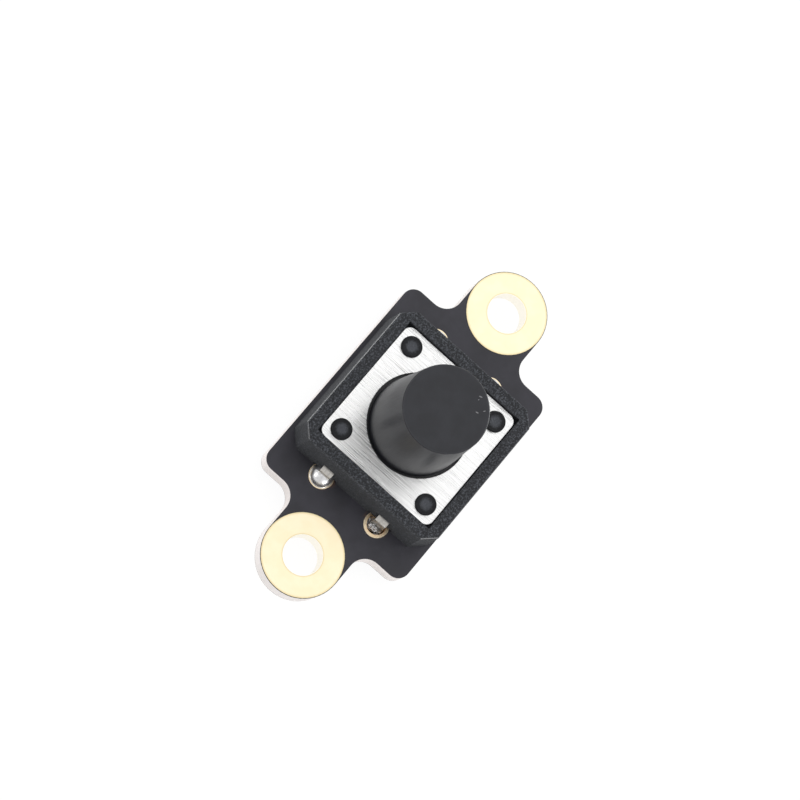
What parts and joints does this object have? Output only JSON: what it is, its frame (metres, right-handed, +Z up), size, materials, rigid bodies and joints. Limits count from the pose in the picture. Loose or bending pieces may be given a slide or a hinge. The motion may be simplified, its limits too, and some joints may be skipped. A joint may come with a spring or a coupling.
{
  "type": "momentary push button switch",
  "caption": "Square tactile switch with a tall round black button, soldered to a small black circuit board with a gold-plated screw lug at each end.",
  "frame": {"origin": "under the middle of the board, level with the tips of the four legs that the board stands on", "axes": "+X from the left lug to the right lug, +Z up along the button"},
  "size_m": [0.0284, 0.0126, 0.0131],
  "materials": {
    "board_laminate": "matt black solder mask over glass-fibre laminate, pale at the cut edge",
    "gold_plating": "pale immersion gold over copper, satin",
    "solder": "bright tin solder",
    "contact_metal": "tin-plated brass strip",
    "housing_plastic": "black moulded plastic with a fine spark-eroded texture",
    "plate_steel": "bright steel, brushed across the board",
    "button_plastic": "black moulded plastic, matt top and satin side",
    "dome_steel": "stamped spring steel"
  },
  "bodies": {
    "board": {"circuit_board": "board_laminate", "outer_contact_strip": "contact_metal", "centre_contact_strip": "contact_metal", "switch_housing": "housing_plastic", "cover_plate": "plate_steel", "snap_dome": "dome_steel", "lug_ring_left": "gold_plating", "lug_ring_right": "gold_plating", "pin_eyelet_1": "gold_plating", "solder_joint_1": "solder", "pin_eyelet_2": "gold_plating", "solder_joint_2": "solder", "pin_eyelet_3": "gold_plating", "solder_joint_3": "solder", "pin_eyelet_4": "gold_plating", "solder_joint_4": "solder"},
    "button": {"button": "button_plastic"}
  },
  "joints": [
    {"name": "button_press", "type": "slide", "parent": "board", "child": "button", "axis": [0, 0, -1], "range_m": [0, 0.00035], "stiffness_N_per_m": 5000, "springref_m": -0.0001, "deforming": ["snap_dome"]}
  ]
}
